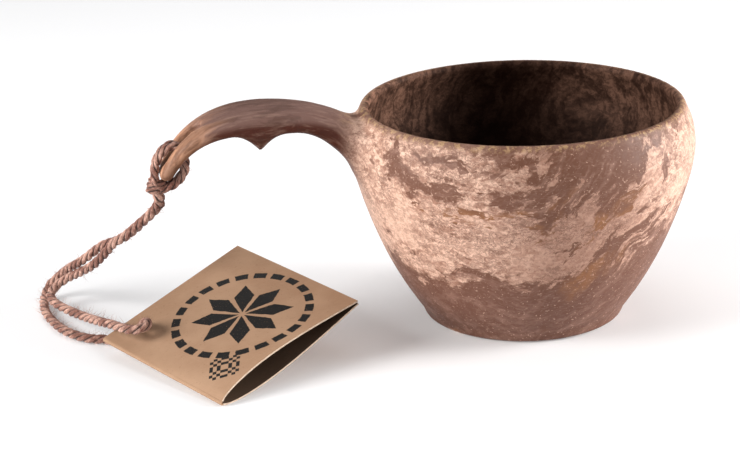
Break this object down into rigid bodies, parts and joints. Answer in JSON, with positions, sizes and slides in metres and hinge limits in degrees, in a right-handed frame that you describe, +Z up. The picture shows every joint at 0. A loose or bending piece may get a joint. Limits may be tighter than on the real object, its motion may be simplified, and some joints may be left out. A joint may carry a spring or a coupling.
{
  "type": "kuksa cup",
  "caption": "Rounded camping cup with an arched finger handle, a twine loop hitched through the handle's eye and a folded card swing tag on the twine.",
  "frame": {"origin": "centre of the cup's flat base, on the bowl's axis", "axes": "+Z up, out of the bowl's mouth; -X along the handle, from the bowl to the handle's tip; +Y completes the right-handed frame"},
  "size_m": [0.1928, 0.1015, 0.0684],
  "materials": {
    "composite": "matte moulded wood-fibre composite, marbled in cream, tan and dark brown",
    "twine": "twisted natural twine, rosy brown, slightly hairy",
    "card": null
  },
  "bodies": {
    "cup_and_twine": {"cup": "composite", "cord_hitch_loop": "twine", "cord_hitch_knot": "twine", "cord_over_strand": "twine", "cord_under_strand": "twine", "cord_joining_knot": "twine"},
    "tag": {"tag_back_leaf": "card"},
    "tag_flap": {"tag_front_leaf": "card"}
  },
  "joints": [
    {"name": "tag_swivel", "type": "hinge", "parent": "cup_and_twine", "child": "tag", "pos_m": [-0.11429, -0.00871, 0.00721], "axis": [0, 0, 1], "range_deg": [-8, 20]},
    {"name": "leaf_fold", "type": "hinge", "parent": "tag", "child": "tag_flap", "pos_m": [-0.1248, -0.0084, 0.0052], "axis": [0.5574, -0.8264, -0.0802], "range_deg": [0, 3]}
  ]
}
